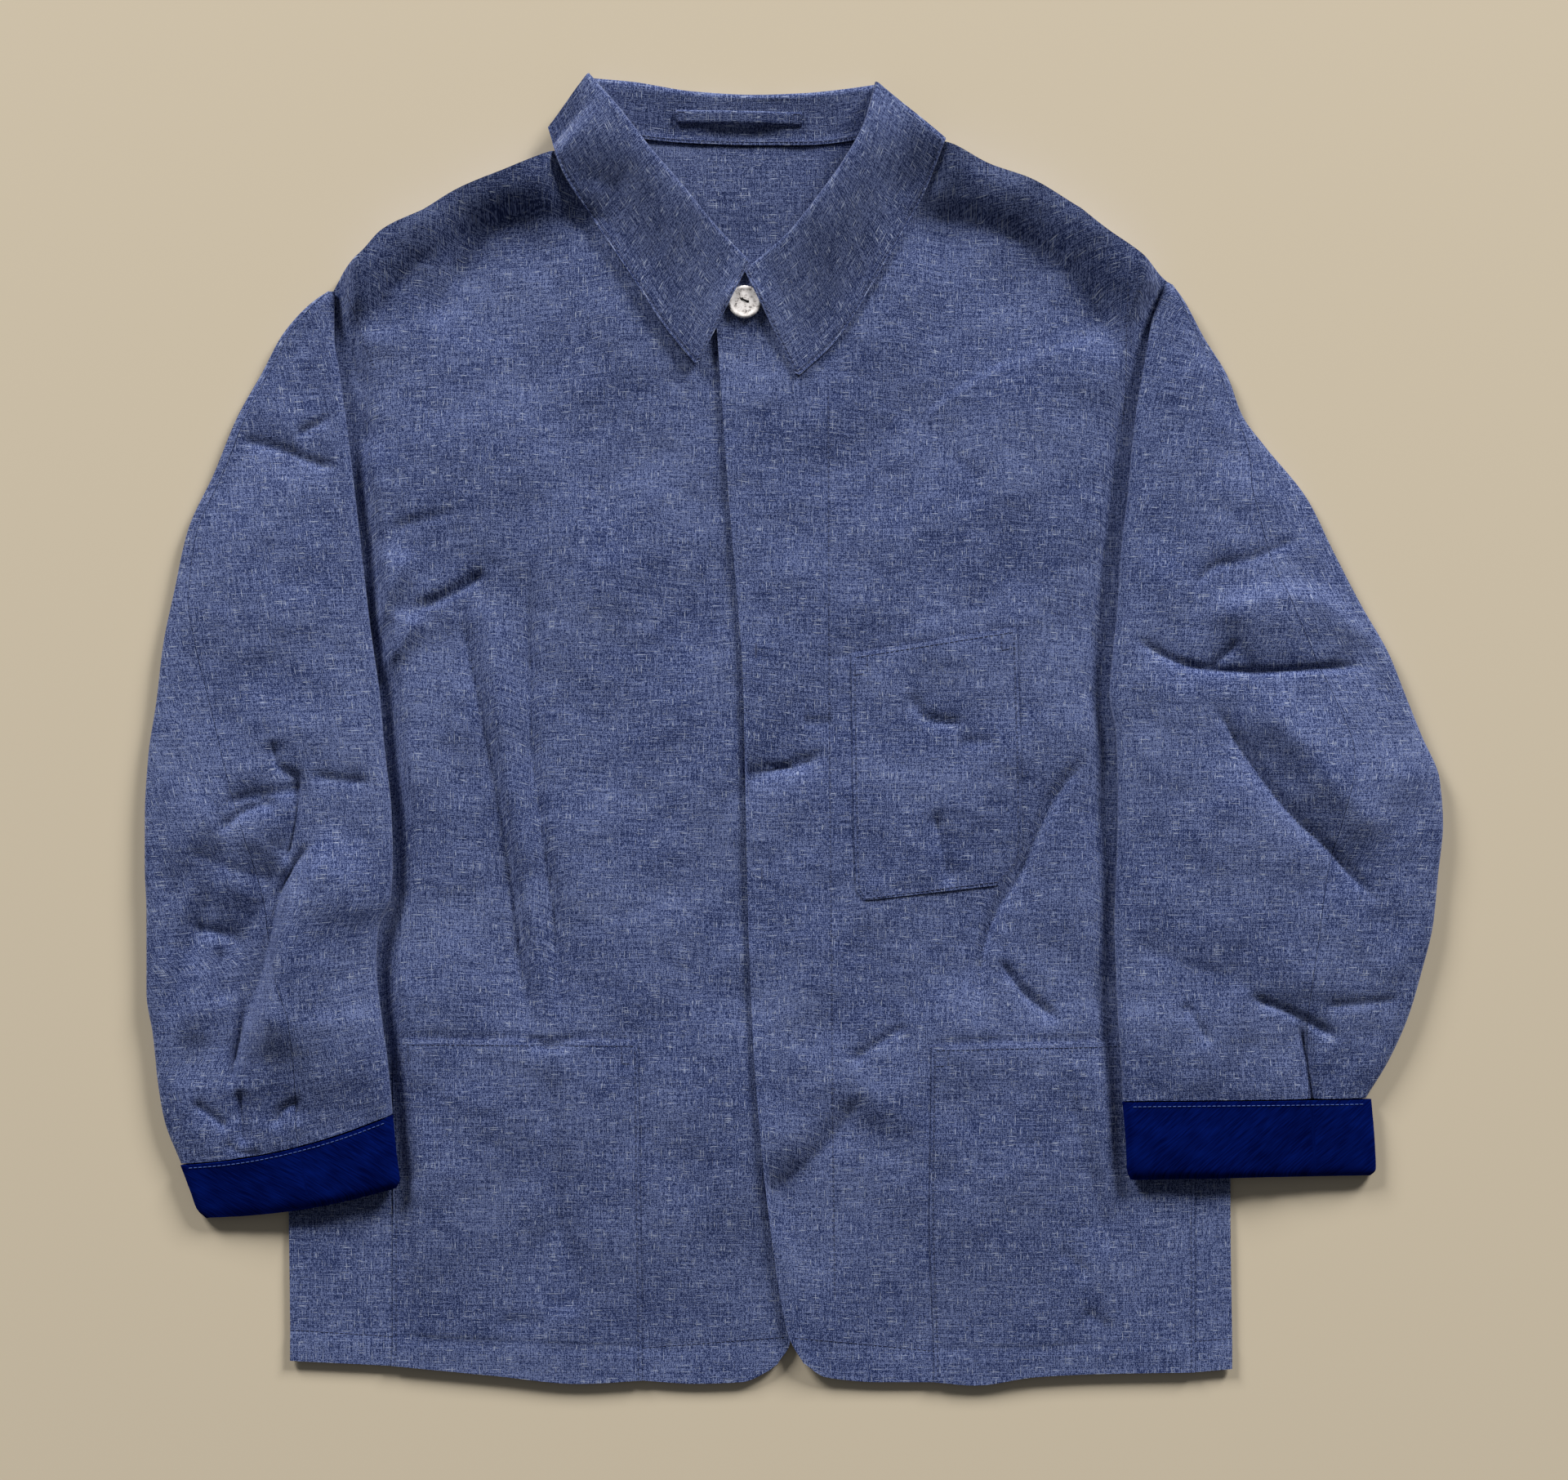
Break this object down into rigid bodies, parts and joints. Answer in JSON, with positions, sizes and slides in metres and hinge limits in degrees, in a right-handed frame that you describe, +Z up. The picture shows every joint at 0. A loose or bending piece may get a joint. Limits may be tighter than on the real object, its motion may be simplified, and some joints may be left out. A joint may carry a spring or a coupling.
{
  "type": "linen jacket",
  "caption": "Buttoned linen work jacket laid flat on its back, with a pointed fold-over collar, patch pockets and deep indigo cuffs.",
  "frame": {"origin": "centre of the jacket's outline in plan, on the surface that it lies on", "axes": "+X from the wearer's right sleeve to the left sleeve, +Y from the hem to the collar, +Z up from the surface"},
  "size_m": [0.7932, 0.8005, 0.0175],
  "materials": {
    "linen": "plain-weave chambray linen with pale slubs",
    "indigo_twill": "smooth deep indigo twill",
    "mottled_button": "mottled silver white, ribbed rim"
  },
  "bodies": {
    "root": {"back": "linen", "front_right": "linen", "front_left": "linen", "sleeve_right_top": "linen", "sleeve_right_under": "linen", "sleeve_left_top": "linen", "sleeve_left_under": "linen", "cuff_right": "indigo_twill", "cuff_left": "indigo_twill", "collar_back": "linen", "collar_right": "linen", "collar_left": "linen", "pocket_right": "linen", "pocket_left": "linen", "pocket_chest": "linen", "hanger_loop": "linen", "button": "mottled_button"}
  },
  "joints": []
}
